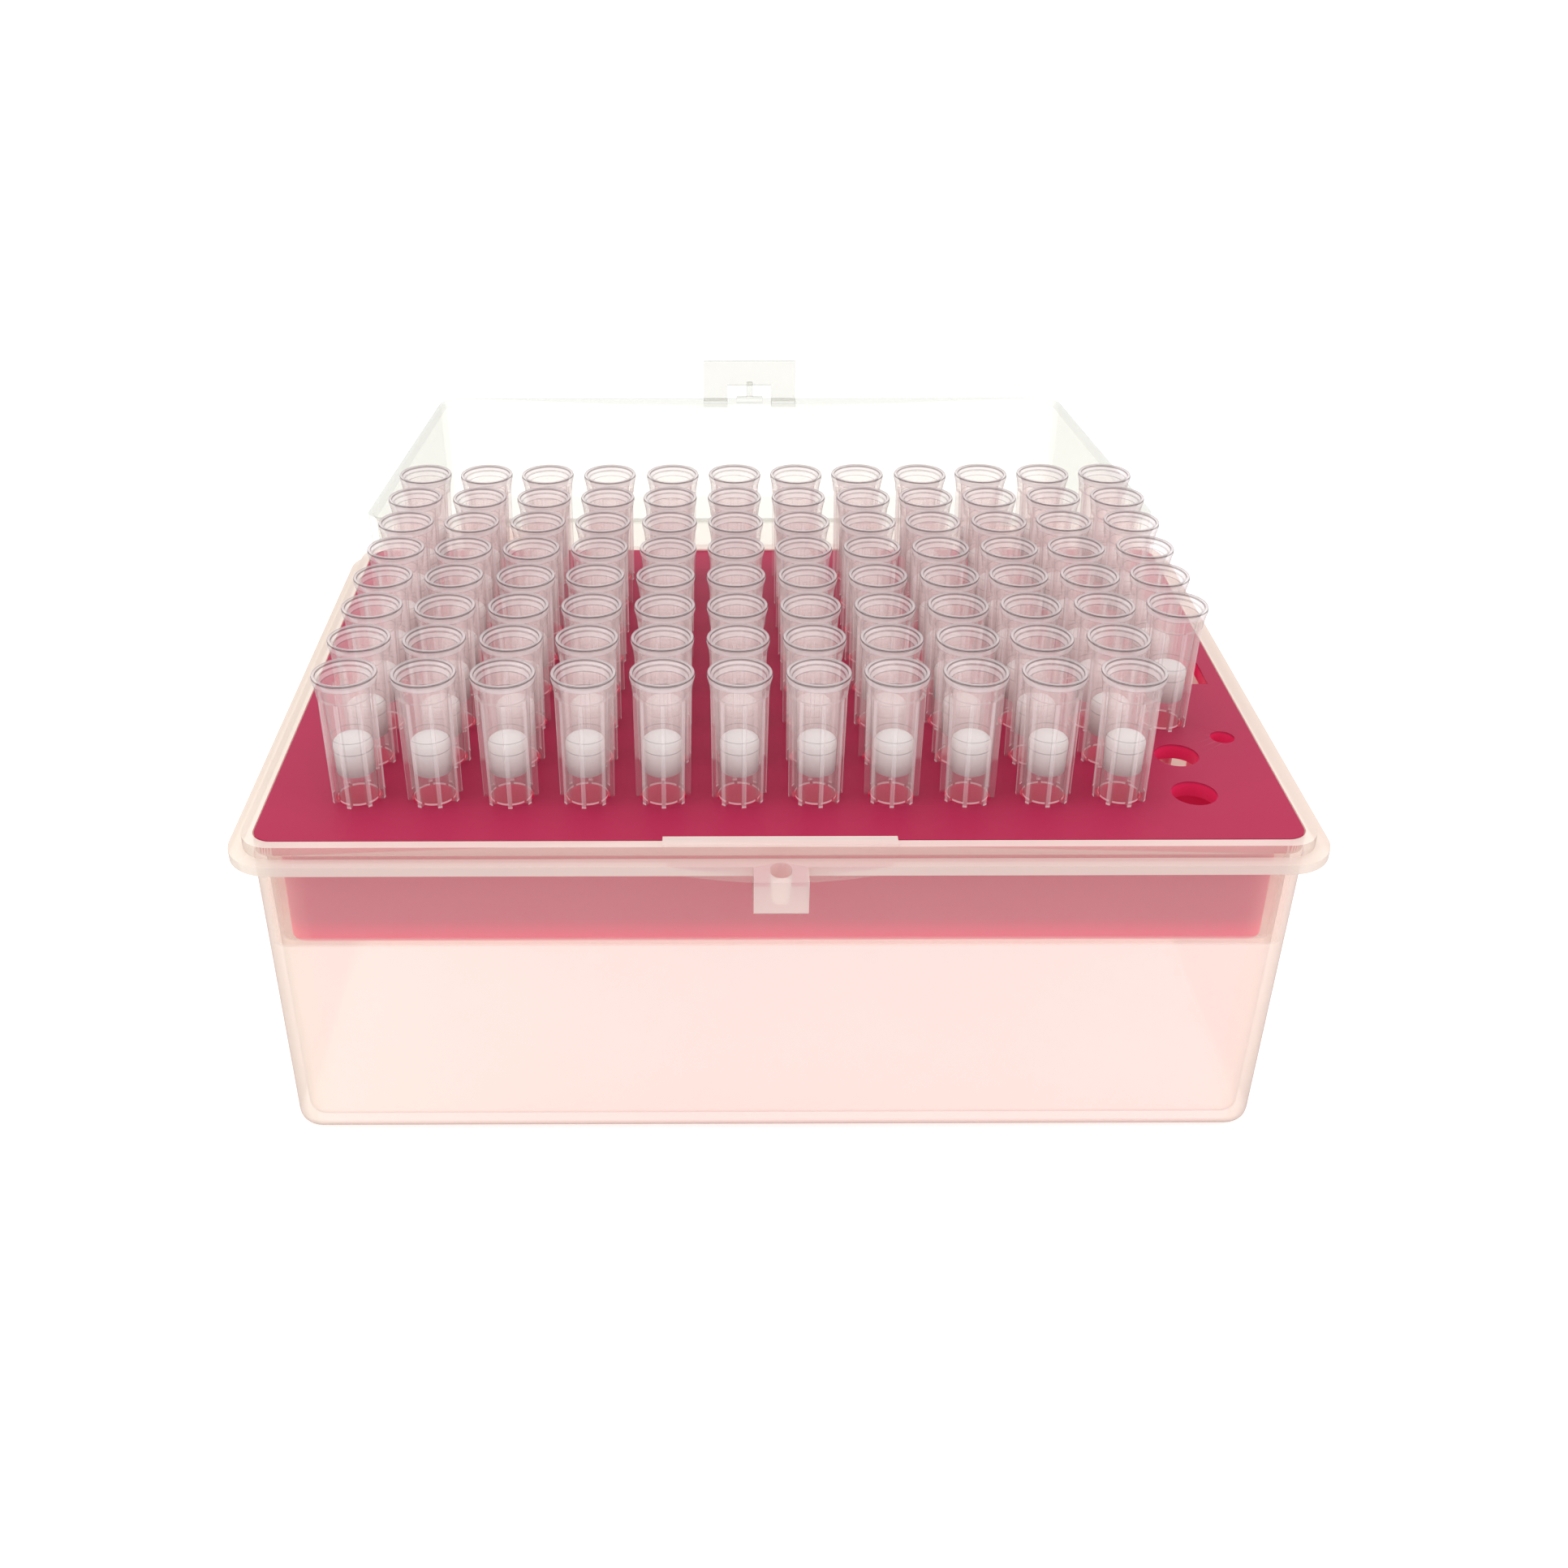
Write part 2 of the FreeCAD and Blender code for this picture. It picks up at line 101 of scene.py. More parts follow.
def paper_material():
    """Matt white that keeps a shadow, and shines white to the camera and in clear plastic."""
    material, tree, output = emptied_material("white_table")
    path = tree.nodes.new("ShaderNodeLightPath")
    seen = worked_out(tree, "MAXIMUM", path.outputs["Is Camera Ray"],
                      path.outputs["Is Transmission Ray"])
    matt = added(tree, "ShaderNodeBsdfDiffuse", {"Color": (0.82, 0.82, 0.82)})
    shine = added(tree, "ShaderNodeEmission", {
        "Color": (1.0, 1.0, 1.0), "Strength": worked_out(tree, "MULTIPLY", seen, 0.42)})
    both = added(tree, "ShaderNodeAddShader", {0: matt.outputs[0], 1: shine.outputs[0]})
    fill(tree, output, {"Surface": both.outputs[0]})
    return material


bpy.ops.object.select_all(action="DESELECT")
bpy.ops.mesh.primitive_plane_add(size=8, location=(0, 0, 0))
table = bpy.context.object
table.name = "table"
table.data.materials.append(paper_material())

world = bpy.data.worlds.new("white_room")
bpy.context.scene.world = world
world.use_nodes = True
room = world.node_tree
path = room.nodes.new("ShaderNodeLightPath")
place = room.nodes.new("ShaderNodeTexCoord")
split = added(room, "ShaderNodeSeparateXYZ", {0: place.outputs["Generated"]})
# The room is dim behind the camera, so clear plastic gets grey outlines.
depth = spread(room, split.outputs["Y"], start=-0.75, end=0.15, low=0.55, high=1.0)
bent = worked_out(room, "MAXIMUM", path.outputs["Is Glossy Ray"],
                  path.outputs["Is Transmission Ray"])
lit = mixed_level(room, bent, 0.8, depth)
seen = mixed_level(room, path.outputs["Is Camera Ray"], lit, 1.0)
fill(room, room.nodes["Background"], {"Color": (1.0, 1.0, 1.0), "Strength": seen})


def soft_lamp(name, place, aim, size, watts):
    bpy.ops.object.light_add(type="AREA", location=place)
    lamp = bpy.context.object
    lamp.name = name
    lamp.data.size = size
    lamp.data.energy = watts
    lamp.rotation_euler = (Vector(aim) - Vector(place)).to_track_quat("-Z", "Y").to_euler()


BOX_MIDDLE = (0, 0, 0.03)
soft_lamp("lamp_above", (-0.15, 0.05, 0.95), BOX_MIDDLE, size=0.7, watts=2.4)
soft_lamp("lamp_left", (-0.8, -0.35, 0.45), BOX_MIDDLE, size=0.5, watts=1.1)
soft_lamp("lamp_right", (0.8, -0.25, 0.45), BOX_MIDDLE, size=0.5, watts=1.5)


# ---------------------------------------------------------------- camera
# A camera at arm's length in front of the latch, looking down at the tips.
LOOKING_DOWN, LOOKING_ASIDE = 30.03, -0.24
bpy.ops.object.camera_add(location=(-0.007478, -0.204875, 0.149143))
camera = bpy.context.object
camera.name = "camera"
camera.rotation_euler = (math.radians(90 - LOOKING_DOWN), 0, math.radians(LOOKING_ASIDE))
camera.data.lens = 39.3
camera.data.sensor_width = 36
camera.data.shift_x = 0.0406
camera.data.shift_y = -0.0183
camera.data.clip_start = 0.01
bpy.context.scene.camera = camera
bpy.context.scene.view_settings.view_transform = "Standard"
# Light passes many clear walls one behind the other.
bpy.context.scene.cycles.max_bounces = 24
bpy.context.scene.cycles.transmission_bounces = 24
bpy.context.scene.cycles.transparent_max_bounces = 24


# ---------------------------------------------------------------- rack
# The rack is moulded in opaque crimson polypropylene. Its deck lies inside the neck
# of the tray, and its skirt and ribs hang below. It has a hole for each tip.
MM = 0.001


def finished_copy(node, name, edge_radius):
    """A merged copy of a CAD node with its sharp edges broken."""
    bpy.ops.object.select_all(action="DESELECT")
    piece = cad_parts[node].copy()
    piece.data = piece.data.copy()
    piece.name = name
    piece.parent = None
    piece.matrix_world = Matrix.Identity(4)
    bpy.context.scene.collection.objects.link(piece)
    bpy.context.view_layer.objects.active = piece
    piece.select_set(True)
    piece.data.materials.clear()
    bpy.ops.object.mode_set(mode="EDIT")
    bpy.ops.mesh.select_all(action="SELECT")
    bpy.ops.mesh.remove_doubles(threshold=0.004 * MM)
    bpy.ops.object.mode_set(mode="OBJECT")
    bpy.ops.object.modifier_add(type="BEVEL")
    bevel = piece.modifiers[-1]
    bevel.width = edge_radius
    bevel.segments = 2
    bevel.limit_method = "ANGLE"
    bevel.angle_limit = math.radians(35)
    bevel.use_clamp_overlap = True
    bpy.ops.object.modifier_apply(modifier=bevel.name)
    bpy.ops.object.shade_smooth_by_angle(angle=math.radians(40))
    bpy.ops.object.modifier_add(type="WEIGHTED_NORMAL")
    level = piece.modifiers[-1]
    level.keep_sharp = True
    level.weight = 100
    bpy.ops.object.modifier_apply(modifier=level.name)
    return piece


def noise(tree, place, scale, detail=2.0):
    """Soft random patches, smaller for a larger scale."""
    return added(tree, "ShaderNodeTexNoise", {
        "Vector": place, "Scale": scale, "Detail": detail}).outputs["Fac"]


def mixed_colour(tree, share, first, second):
    """Two colours mixed, with this share of the second."""
    node = tree.nodes.new("ShaderNodeMix")
    node.data_type = "RGBA"
    fill(tree, node, {0: share, 6: first, 7: second})
    return node.outputs[2]


# How strongly the painted glow lights the skirt, from its foot (0) up to the deck (1).
SKIRT_FOOT, DECK_TOP = 24 * MM, 43.65 * MM
PAINTED_GLOW_UP_THE_SKIRT = ((0.26, 0.9), (0.36, 0.42), (0.85, 0.36), (0.98, 0.6), (0.995, 0.0))


def crimson_material():
    """Opaque crimson with a faint orange-peel texture, small changes of gloss and a painted
    glow.
    """
    material, tree, output = emptied_material("crimson_polypropylene")
    place = tree.nodes.new("ShaderNodeTexCoord").outputs["Object"]
    cloud = noise(tree, place, 45.0)
    peel = added(tree, "ShaderNodeBump", {
        "Strength": 0.02, "Distance": 0.05 * MM, "Height": noise(tree, place, 2500.0)})
    # Painted glow: emission stands in for light scattered by the milky tray, which brings up the
    # colour of the skirt, most at its foot.
    height = added(tree, "ShaderNodeSeparateXYZ", {0: place}).outputs["Z"]
    glow = added(tree, "ShaderNodeValToRGB", {"Fac": spread(tree, height, SKIRT_FOOT, DECK_TOP)})
    steps = glow.color_ramp.elements
    steps[0].position, steps[1].position = PAINTED_GLOW_UP_THE_SKIRT[0][0], PAINTED_GLOW_UP_THE_SKIRT[-1][0]
    for position, level in PAINTED_GLOW_UP_THE_SKIRT[1:-1]:
        steps.new(position)
    for step, (position, level) in zip(steps, PAINTED_GLOW_UP_THE_SKIRT):
        step.color = (level, level, level, 1)
    plastic = added(tree, "ShaderNodeBsdfPrincipled", {
        "Base Color": mixed_colour(tree, cloud, (0.42, 0.018, 0.072), (0.47, 0.025, 0.088)),
        "Roughness": spread(tree, cloud, 0.0, 1.0, low=0.38, high=0.5),
        "IOR": 1.45,
        "Specular IOR Level": 0.2,
        "Normal": peel.outputs[0],
        "Emission Color": (0.49, 0.010, 0.056),
        "Emission Strength": glow.outputs["Color"]})
    fill(tree, output, {"Surface": plastic.outputs[0]})
    return material


rack = finished_copy("tip_rack", "rack", 0.12 * MM)
rack.data.materials.append(crimson_material())
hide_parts("tip_rack")
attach(rack, "tray")


# ---------------------------------------------------------------- tray
# The tray is moulded in natural polypropylene, a milky plastic that shows the rack
# through its walls. Its neck and flange carry the rack and the lid.
SKIRT_BEGINS, SKIRT_SHOWS = 28.9 * MM, 29.5 * MM    # heights on the wall in front of it
SKIRT_SIDE, SKIRT_GONE = 57.5 * MM, 59.5 * MM       # distances to the left and right
ENDS_BEGIN, ENDS = 54 * MM, 62 * MM


def half_hidden(tree, output, cover, through, plastic):
    """Let a plastic hide this share of what lies behind it, and tint the rest."""
    window = added(tree, "ShaderNodeBsdfTransparent", {"Color": through})
    both = added(tree, "ShaderNodeMixShader", {
        "Fac": cover, 1: window.outputs[0], 2: plastic.outputs[0]})
    fill(tree, output, {"Surface": both.outputs[0]})


def natural_material(name, pale, paler, low_cover, high_cover, most, low_glow, high_glow):
    """Milky plastic with a painted glow, that hides more and looks greyer where it is edge on.

    What stands close behind it, up at the rack, shows better than what stands far behind it.
    """
    material, tree, output = emptied_material(name)
    place = tree.nodes.new("ShaderNodeTexCoord").outputs["Object"]
    where = added(tree, "ShaderNodeSeparateXYZ", {0: place})
    aside = worked_out(tree, "ABSOLUTE", where.outputs["X"])
    cloud = noise(tree, place, 60.0, detail=3.0)
    slant = added(tree, "ShaderNodeLayerWeight", {"Blend": 0.5}).outputs["Facing"]
    edge = spread(tree, slant, 0.35, 1.0)
    # Painted shade: the short ends stand away from the rack's red light and are painted greyer.
    at_end = spread(tree, aside, ENDS_BEGIN, ENDS)
    tint = mixed_colour(tree, cloud, pale, paler)
    tint = mixed_colour(tree, at_end, tint, (0.77, 0.68, 0.63))
    tint = mixed_colour(tree, edge, tint, (0.70, 0.58, 0.53))
    # Painted glow: it stands in for the light that comes through the wall, which is warmer on
    # the left.
    across = spread(tree, where.outputs["X"], -62 * MM, -5 * MM)
    warmth = mixed_colour(tree, across, (0.86, 0.89, 0.71), (0.86, 0.79, 0.655))
    # Painted glow, strong on the lower part of the walls and at their ends, for the white
    # table's light from within.
    glow = spread(tree, where.outputs["Z"], SKIRT_BEGINS, SKIRT_SHOWS, low_glow, high_glow)
    glow = worked_out(tree, "MAXIMUM", glow,
                      spread(tree, at_end, 0.0, 1.0, high=low_glow * 1.6))
    glow = worked_out(tree, "MULTIPLY", worked_out(tree, "SUBTRACT", 1.0, edge), glow)
    least = spread(tree, where.outputs["Z"], SKIRT_BEGINS, SKIRT_SHOWS, low_cover, high_cover)
    least = worked_out(tree, "MAXIMUM", least,
                       spread(tree, aside, SKIRT_SIDE, SKIRT_GONE, high=low_cover))
    plastic = added(tree, "ShaderNodeBsdfPrincipled", {
        "Base Color": tint,
        "Roughness": spread(tree, cloud, 0.0, 1.0, low=0.25, high=0.35),
        "IOR": 1.45,
        "Emission Color": warmth,
        "Emission Strength": glow})
    half_hidden(tree, output, cover=spread(tree, edge, 0.0, 1.0, low=least, high=most),
                through=mixed_colour(tree, edge, (1.0, 0.965, 0.935), (0.62, 0.52, 0.50)),
                plastic=plastic)
    return material


tray = finished_copy("base_box", "tray", 0.15 * MM)
# The pink in these tints is painted light, the rack's red thrown on the milky walls from within,
# and each glow is painted light too.
tray.data.materials.append(natural_material(
    "natural_polypropylene", (0.88, 0.68, 0.72), (0.91, 0.73, 0.77),
    low_cover=0.5, high_cover=0.2, most=0.65, low_glow=0.38, high_glow=0.03))
tray.data.materials.append(natural_material(
    "natural_thick_flange", (0.79, 0.665, 0.64), (0.83, 0.70, 0.675),
    low_cover=0.62, high_cover=0.62, most=0.8, low_glow=0.2, high_glow=0.12))
tray.data.materials.append(natural_material(
    "natural_latch_block", (0.88, 0.78, 0.77), (0.91, 0.82, 0.81),
    low_cover=0.46, high_cover=0.46, most=0.75, low_glow=0.14, high_glow=0.14))
tray.data.materials.append(natural_material(
    "natural_neck", (0.88, 0.74, 0.72), (0.91, 0.78, 0.76),
    low_cover=0.29, high_cover=0.29, most=0.75, low_glow=0.1, high_glow=0.1))
tray.data.materials.append(natural_material(
    "natural_neck_edge", (0.89, 0.80, 0.765), (0.92, 0.83, 0.795),
    low_cover=0.6, high_cover=0.6, most=0.8, low_glow=0.22, high_glow=0.22))
FLANGE, LATCH_BLOCK, NECK, NECK_EDGE = 1, 2, 3, 4
NECK_TOP, SHELF, FLANGE_LOW = 43.6 * MM, 42.0 * MM, 40.8 * MM
LATCH_HALF_WIDTH, LATCH_BACK = 3.2 * MM, -43.3 * MM
HAIR = 0.01 * MM                 # the slack with which a face's height is compared
for face in tray.data.polygons:
    centre = face.center
    in_latch = abs(centre.x) < LATCH_HALF_WIDTH and centre.y < LATCH_BACK
    if in_latch and centre.z < SHELF + HAIR:
        face.material_index = LATCH_BLOCK
    elif centre.z > NECK_TOP - 0.2 * MM:
        face.material_index = NECK_EDGE
    elif FLANGE_LOW - HAIR < centre.z < SHELF + 0.3 * MM:
        face.material_index = FLANGE
    elif centre.z > SHELF:
        face.material_index = NECK
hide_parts("base_box")
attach(tray, "tray")


# ---------------------------------------------------------------- lid
# The lid is a thin clear moulding in clarified polypropylene. Two clips behind it
# snap over the pins of the tray, and a tab in front drops over the latch block.
def clear_material(name, through_it, at_its_edges, body, least, most, roughness, glow):
    """Clear plastic: it darkens what lies behind its outlines and has a painted glow, for light
    scattered in it.

    least and most say how much of what lies behind is hidden, face on and edge on.
    """
    material, tree, output = emptied_material(name)
    place = tree.nodes.new("ShaderNodeTexCoord").outputs["Object"]
    slant = added(tree, "ShaderNodeLayerWeight", {"Blend": 0.5}).outputs["Facing"]
    edge = worked_out(tree, "POWER", slant, 3.0)
    plastic = added(tree, "ShaderNodeBsdfPrincipled", {
        "Base Color": body,
        "Roughness": spread(tree, noise(tree, place, 90.0), 0.0, 1.0,
                            low=roughness * 0.7, high=roughness * 1.3),
        "IOR": 1.45,
        "Emission Color": body,
        "Emission Strength": glow})
    half_hidden(tree, output, cover=spread(tree, edge, 0.0, 1.0, low=least, high=most),
                through=mixed_colour(tree, edge, through_it, at_its_edges), plastic=plastic)
    return material


lid = finished_copy("lid", "lid_cover", 0.15 * MM)
# Each glow below is painted light; the hinge wall's strong glow paints over the table's shadow
# that lies behind it.
lid.data.materials.append(clear_material(
    "clear_polypropylene", (0.957, 0.954, 0.926), (0.82, 0.82, 0.79), (0.89, 0.89, 0.86),
    least=0.05, most=0.3, roughness=0.2, glow=0.05))
lid.data.materials.append(clear_material(
    "clear_thick_tab", (0.93, 0.93, 0.91), (0.56, 0.56, 0.54), (0.72, 0.72, 0.69),
    least=0.18, most=0.4, roughness=0.2, glow=0.1))
lid.data.materials.append(clear_material(
    "clear_rim", (0.90, 0.905, 0.885), (0.62, 0.62, 0.60), (0.80, 0.80, 0.77),
    least=0.2, most=0.4, roughness=0.2, glow=0.1))
lid.data.materials.append(clear_material(
    "clear_hinge_wall", (0.985, 0.98, 0.97), (0.90, 0.89, 0.86), (0.94, 0.92, 0.89),
    least=0.14, most=0.3, roughness=0.2, glow=0.4))
THICK_TAB, RIM, HINGE_WALL = 1, 2, 3
LEAN = math.radians(6.0)         # of the lid that is folded all the way back
TAB_HALF_WIDTH, TAB_BEGINS = 9.6 * MM, 138.6 * MM
RIM_HEIGHT, HINGE_WALL_BACK = 1.3 * MM, 52 * MM
opening = Vector((0, math.sin(LEAN), math.cos(LEAN)))
rim_level = max(corner.co.dot(opening) for corner in lid.data.vertices
                if abs(corner.co.x) > 55 * MM)
for face in lid.data.polygons:
    centre = face.center
    if abs(centre.x) < TAB_HALF_WIDTH and centre.y > TAB_BEGINS:
        face.material_index = THICK_TAB
    elif centre.dot(opening) > rim_level - RIM_HEIGHT:
        face.material_index = RIM
    elif centre.y < HINGE_WALL_BACK:
        face.material_index = HINGE_WALL
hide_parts("lid")
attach(lid, "cover")


# ---------------------------------------------------------------- tips
# Each tip is moulded in clear polypropylene: a mouth that seals on the pipette, a
# barrel with eight fins that stand on the deck, and a long cone that hangs below it.
SIDES = 40                       # one of them makes the width of a fin
FINS = 8
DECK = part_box("tip_rack")[1].z
PITCH = 9.0 * MM
COLUMNS, ROWS = 12, 8
USED_PLACES = {(12, 1), (12, 2)}
# From here on to the end of the section, radii and heights above the deck are in
# millimetres. The outline runs up the outside, over the rim and down the bore.
FIN_TOP = 13.7
FIN_REACH_AT_FOOT, FIN_REACH_AT_TOP = 3.22, 3.4
TIP_OUTLINE = [
    (0.42, -36.1), (1.45, -24.0), (1.72, -17.5), (2.17, -6.6), (2.45, 0.0), (2.46, 0.25),
    (2.66, 5.0), (2.95, FIN_TOP), (3.4, FIN_TOP), (3.42, 14.0), (3.5, 14.7), (3.64, 15.4),
    (3.75, 15.8), (3.75, 16.1), (3.69, 16.3), (3.57, 16.4), (3.45, 16.38), (3.36, 16.25),
    (3.31, 16.02), (3.28, 15.95), (3.1, 15.75), (3.04, 15.5), (2.88, 15.0), (2.78, 14.9),
    (2.70, 14.4), (2.64, 13.4), (2.59, 13.25), (2.54, 10.6), (2.50, 10.45), (2.45, 8.3),
    (2.42, 8.15), (2.40, 6.7), (2.37, 6.55), (2.18, 0.0), (1.86, -6.6), (1.10, -24.0),
    (0.22, -36.1),
]
BORE_STEPS = (13.325, 8.225, 6.625)     # middles of the small steps down the bore
STRIP = 0.08                            # half the height of the strip at such a step
FOOT_HIGHLIGHT_TOP, FOOT_DEPTH, LOWER_BARREL_TOP = 0.25, -4.0, 5.0


def turned_piece(name, outline, sides):
    """A ring drawn at the first step and extruded to each next radius and height."""
    bpy.ops.object.select_all(action="DESELECT")
    first_radius, first_height = outline[0]
    bpy.ops.mesh.primitive_circle_add(vertices=sides, radius=first_radius * MM)
    piece = bpy.context.object
    piece.name = name
    bpy.ops.object.mode_set(mode="EDIT")
    bpy.ops.mesh.select_all(action="SELECT")
    bpy.ops.transform.translate(value=(0, 0, first_height * MM))
    last = outline[0]
    for step in outline[1:]:
        rise = (step[1] - last[1]) * MM
        bpy.ops.mesh.extrude_region_move(TRANSFORM_OT_translate={"value": (0, 0, rise)})
        grow = step[0] / last[0]
        bpy.ops.transform.resize(value=(grow, grow, 1), center_override=(0, 0, step[1] * MM))
        last = step
    bpy.ops.object.mode_set(mode="OBJECT")
    return piece


def select_faces(piece, wanted):
    """Select the faces for which wanted(face) is true, ready for edit mode."""
    bpy.ops.object.mode_set(mode="EDIT")
    bpy.ops.mesh.select_mode(type="FACE")
    bpy.ops.mesh.select_all(action="DESELECT")
    bpy.ops.object.mode_set(mode="OBJECT")
    for face in piece.data.polygons:
        face.select = wanted(face)
    bpy.ops.object.mode_set(mode="EDIT")


def on_fin(face):
    """True where a face lies on one of the strips that the fins grow from."""
    turn = math.degrees(math.atan2(face.center.y, face.center.x)) % (360 / FINS)
    return turn < 360 / SIDES


def on_barrel(face):
    """True where a face lies on the outside of the barrel, between the deck and the mouth."""
    centre = face.center
    outside = face.normal.x * centre.x + face.normal.y * centre.y > 0
    past_the_bore = math.hypot(centre.x, centre.y) > 2.2 * MM
    return outside and past_the_bore and 0 < centre.z < (FIN_TOP - 0.1) * MM


def foot_material():
    """The clear plastic inside a hole of the rack, painted crimson with a painted glow for the
    rack's red light scattered up into it.
    """
    material, tree, output = emptied_material("tip_foot_in_the_rack")
    place = tree.nodes.new("ShaderNodeTexCoord").outputs["Object"]
    body = added(tree, "ShaderNodeBsdfPrincipled", {
        "Base Color": (0.50, 0.04, 0.11),
        "Roughness": 0.3,
        "Alpha": 0.6,
        "Emission Color": (0.50, 0.04, 0.11),
        "Emission Strength": spread(tree, noise(tree, place, 300.0), 0.0, 1.0,
                                    low=0.25, high=0.35)})
    fill(tree, output, {"Surface": body.outputs[0]})
    return material


tip = turned_piece("tip", TIP_OUTLINE + TIP_OUTLINE[:1], SIDES)
bpy.ops.object.mode_set(mode="EDIT")
bpy.ops.mesh.select_all(action="SELECT")
bpy.ops.mesh.remove_doubles(threshold=0.001 * MM)
bpy.ops.mesh.normals_make_consistent(inside=False)
bpy.ops.object.mode_set(mode="OBJECT")

# The fins are drawn out of the barrel, and the ends that would lie under the mouth
# are taken away.
select_faces(tip, lambda face: on_fin(face) and on_barrel(face))
bpy.ops.mesh.extrude_region_move(TRANSFORM_OT_translate={"value": (0, 0, 0)})
bpy.ops.object.mode_set(mode="OBJECT")
for vertex in tip.data.vertices:
    if vertex.select:
        height = vertex.co.z / MM
        widening = (FIN_REACH_AT_TOP - FIN_REACH_AT_FOOT) * height / FIN_TOP
        reach = (FIN_REACH_AT_FOOT + widening) * MM
        out = Vector((vertex.co.x, vertex.co.y, 0)).normalized() * reach
        vertex.co.x, vertex.co.y = out.x, out.y
bpy.ops.object.mode_set(mode="EDIT")
bpy.ops.mesh.select_all(action="SELECT")
bpy.ops.mesh.remove_doubles(threshold=0.001 * MM)
bpy.ops.object.mode_set(mode="OBJECT")
select_faces(tip, lambda face: on_fin(face) and abs(face.center.z - FIN_TOP * MM) < HAIR)
bpy.ops.mesh.delete(type="FACE")
bpy.ops.mesh.select_all(action="SELECT")
bpy.ops.mesh.delete_loose(use_verts=True, use_edges=True, use_faces=False)
bpy.ops.mesh.select_all(action="SELECT")
bpy.ops.mesh.normals_make_consistent(inside=False)
bpy.ops.object.mode_set(mode="OBJECT")
bpy.ops.object.shade_smooth_by_angle(angle=math.radians(32))

# Each glow below is painted light, for light scattered in the clear plastic, and the pink of the
# bodies is painted red light from the rack.
tip.data.materials.append(clear_material(
    "tip_polypropylene", (0.985, 0.97, 0.97), (0.54, 0.49, 0.49), (0.85, 0.74, 0.73),
    least=0.13, most=0.28, roughness=0.15, glow=0.3))
tip.data.materials.append(clear_material(
    "tip_lip", (0.97, 0.95, 0.955), (0.36, 0.33, 0.34), (0.86, 0.80, 0.80),
    least=0.3, most=0.5, roughness=0.15, glow=0.27))
tip.data.materials.append(foot_material())
tip.data.materials.append(clear_material(
    "tip_lip_lines", (0.54, 0.50, 0.50), (0.36, 0.33, 0.33), (0.38, 0.35, 0.35),
    least=0.24, most=0.42, roughness=0.15, glow=0.0))
# The fins are lighter, partly for their thicker plastic and partly as a painted highlight where
# their edges catch the light.
tip.data.materials.append(clear_material(
    "tip_fins", (0.97, 0.95, 0.955), (0.48, 0.43, 0.43), (0.94, 0.88, 0.88),
    least=0.2, most=0.42, roughness=0.15, glow=0.35))
# A painted highlight: a pale ring round the foot of the barrel and on the feet of the fins.
tip.data.materials.append(clear_material(
    "tip_foot_highlight", (0.97, 0.93, 0.94), (0.80, 0.72, 0.74), (0.98, 0.86, 0.88),
    least=0.45, most=0.6, roughness=0.15, glow=0.3))
tip.data.materials.append(clear_material(
    "tip_cone", (0.999, 0.998, 0.998), (0.92, 0.89, 0.89), (0.97, 0.88, 0.86),
    least=0.01, most=0.08, roughness=0.15, glow=0.5))
tip.data.materials.append(clear_material(
    "tip_bore_lines", (0.74, 0.72, 0.72), (0.50, 0.48, 0.48), (0.60, 0.58, 0.58),
    least=0.2, most=0.4, roughness=0.15, glow=0.1))
tip.data.materials.append(clear_material(
    "tip_lower_barrel", (0.985, 0.97, 0.97), (0.54, 0.49, 0.49), (0.88, 0.77, 0.76),
    least=0.05, most=0.22, roughness=0.15, glow=0.3))
LIP, FOOT, LIP_LINE, FIN, FOOT_HIGHLIGHT, CONE, BORE_LINE, LOWER_BARREL = range(1, 9)


def part_of_tip(radius, height):
    """Which of the materials a face takes, by its place in millimetres."""
    if 16.0 < height < 16.27 and (3.68 < radius < 3.74 or 3.3 < radius < 3.36):
        return LIP_LINE
    if radius < 2.63 and any(abs(height - step) < STRIP for step in BORE_STEPS):
        return BORE_LINE
    if (14.9 < height < 15.0 and radius < 2.9) or (15.5 < height < 15.7 and radius < 3.1):
        return BORE_LINE
    # Painted highlight at the foot of the barrel and at the feet of the fins.
    if 0 < height < FOOT_HIGHLIGHT_TOP and (2.4 < radius < 2.6 or radius > 3.1):
        return FOOT_HIGHLIGHT
    if height > 15.1:
        return LIP
    if radius > 3.1 and height < FIN_TOP:
        return FIN
    if FOOT_DEPTH < height < 0.2 and radius < 2.5:
        return FOOT
    if height < FOOT_DEPTH:
        return CONE
    if height < LOWER_BARREL_TOP:
        return LOWER_BARREL
    return 0


for face in tip.data.polygons:
    centre = face.center
    face.material_index = part_of_tip(math.hypot(centre.x, centre.y) / MM, centre.z / MM)


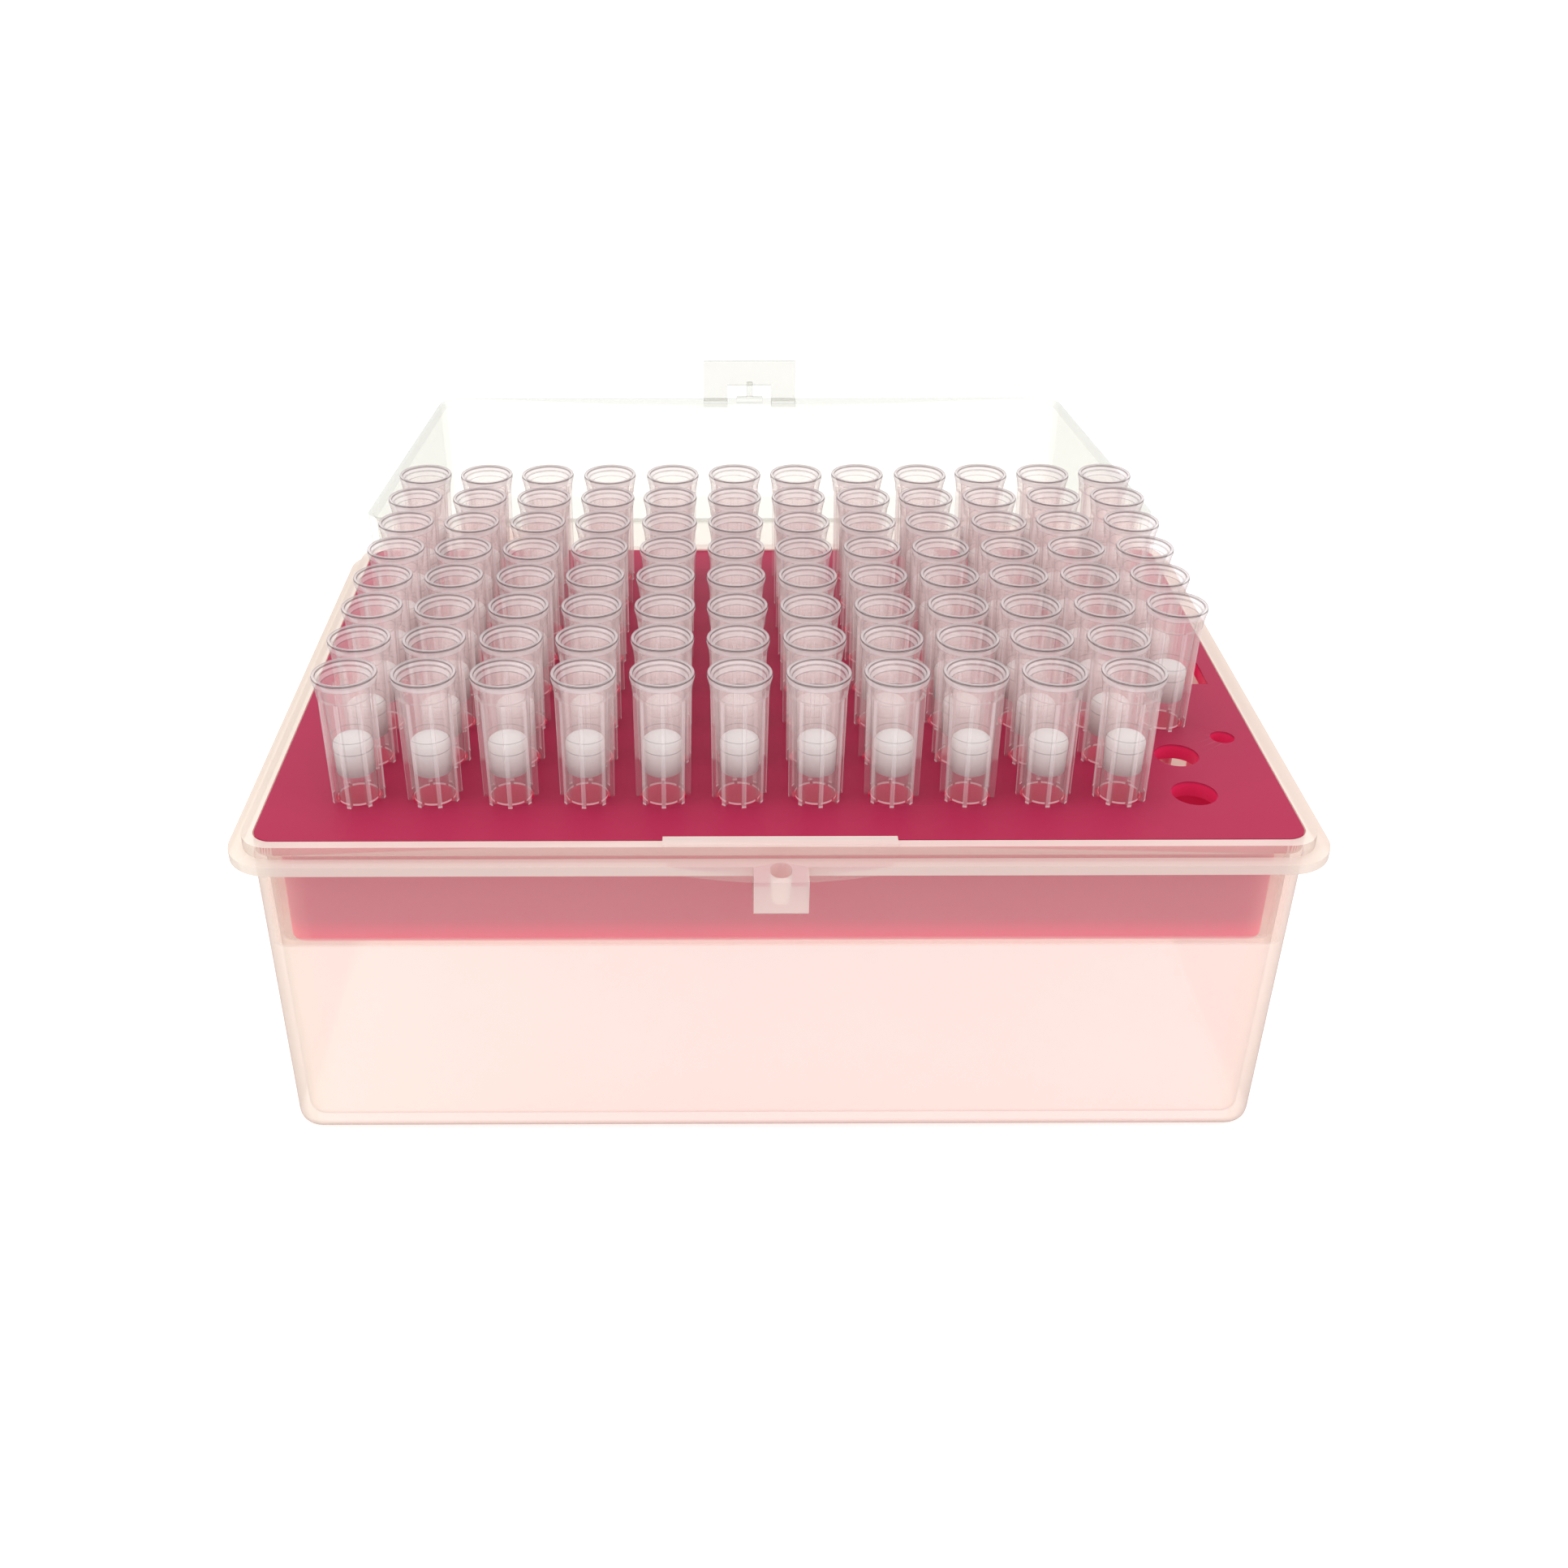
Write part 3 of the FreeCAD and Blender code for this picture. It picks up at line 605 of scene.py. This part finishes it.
def stood_in_columns(pattern, node_name, loose):
    """Copies of the pattern at every used place, joined column by column."""
    chance = random.Random(7)
    for column in range(1, COLUMNS + 1):
        copies = []
        for row in range(1, ROWS + 1):
            if (column, row) in USED_PLACES:
                continue
            bpy.ops.object.select_all(action="DESELECT")
            pattern.select_set(True)
            bpy.context.view_layer.objects.active = pattern
            bpy.ops.object.duplicate()
            copy = bpy.context.object
            x = (column - (COLUMNS + 1) / 2) * PITCH
            y = (row - (ROWS + 1) / 2) * PITCH
            lean = Matrix.Rotation(chance.uniform(-loose, loose), 4, "X")
            lean = lean @ Matrix.Rotation(chance.uniform(-loose, loose), 4, "Y")
            turn = Matrix.Rotation(chance.uniform(0, math.pi / 4), 4, "Z")
            copy.matrix_world = Matrix.Translation((x, y, DECK)) @ lean @ turn
            copies.append(copy)
        bpy.ops.object.select_all(action="DESELECT")
        for copy in copies:
            copy.select_set(True)
        bpy.context.view_layer.objects.active = copies[0]
        bpy.ops.object.join()
        stand = bpy.context.object
        bpy.ops.object.transform_apply(location=True, rotation=True, scale=True)
        stand.name = node_name % column + "_seen"
        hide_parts(node_name % column)
        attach(stand, "tray")
    bpy.data.objects.remove(pattern)


stood_in_columns(tip, "tips_column_%02d", math.radians(0.45))


# ---------------------------------------------------------------- filter plugs
# A plug of white sintered polyethylene is pressed into each barrel, above the deck,
# and stops spray from reaching the pipette. Its upper edge is rounded.
PLUG_FOOT, PLUG_SHADE_TOP, PLUG_TOP = DECK + 3.6 * MM, DECK + 6.8 * MM, DECK + 7.9 * MM
PLUG_RADIUS, PLUG_ROUNDING = 2.33 * MM, 0.75 * MM


def porous_material():
    """White sintered grains: matt, slightly see-through, with a fine pitted surface and painted
    shade at the foot.
    """
    material, tree, output = emptied_material("porous_polyethylene")
    place = tree.nodes.new("ShaderNodeTexCoord").outputs["Object"]
    grains = noise(tree, place, 4000.0)
    pits = added(tree, "ShaderNodeBump", {
        "Strength": 0.3, "Distance": 0.05 * MM, "Height": grains})
    # Painted shade: less light reaches the foot of the plug, so it is painted a warm grey,
    # tinted by the rack's red light.
    height = added(tree, "ShaderNodeSeparateXYZ", {0: place}).outputs["Z"]
    tint = mixed_colour(tree, grains, (0.76, 0.80, 0.78), (0.87, 0.91, 0.89))
    tint = mixed_colour(tree, spread(tree, height, PLUG_FOOT, PLUG_SHADE_TOP),
                        (0.47, 0.38, 0.38), tint)
    body = added(tree, "ShaderNodeBsdfPrincipled", {
        "Base Color": tint,
        "Roughness": 0.9,
        "Specular IOR Level": 0.2,
        "Normal": pits.outputs[0]})
    fill(tree, output, {"Surface": body.outputs[0]})
    return material


bpy.ops.object.select_all(action="DESELECT")
bpy.ops.mesh.primitive_cylinder_add(vertices=28, radius=PLUG_RADIUS, depth=PLUG_TOP - PLUG_FOOT)
plug = bpy.context.object
plug.name = "plug"
bpy.ops.object.mode_set(mode="EDIT")
bpy.ops.mesh.select_all(action="SELECT")
bpy.ops.transform.translate(value=(0, 0, (PLUG_TOP + PLUG_FOOT) / 2 - DECK))
bpy.ops.object.mode_set(mode="OBJECT")
select_faces(plug, lambda face: face.normal.z < -0.9)
bpy.ops.transform.resize(value=(0.96, 0.96, 1))
bpy.ops.object.mode_set(mode="OBJECT")
select_faces(plug, lambda face: face.normal.z > 0.9)
bpy.ops.mesh.bevel(offset=PLUG_ROUNDING, segments=3, affect="EDGES")
bpy.ops.object.mode_set(mode="OBJECT")
bpy.ops.object.shade_smooth_by_angle(angle=math.radians(40))
plug.data.materials.append(porous_material())
stood_in_columns(plug, "filters_column_%02d", 0.0)
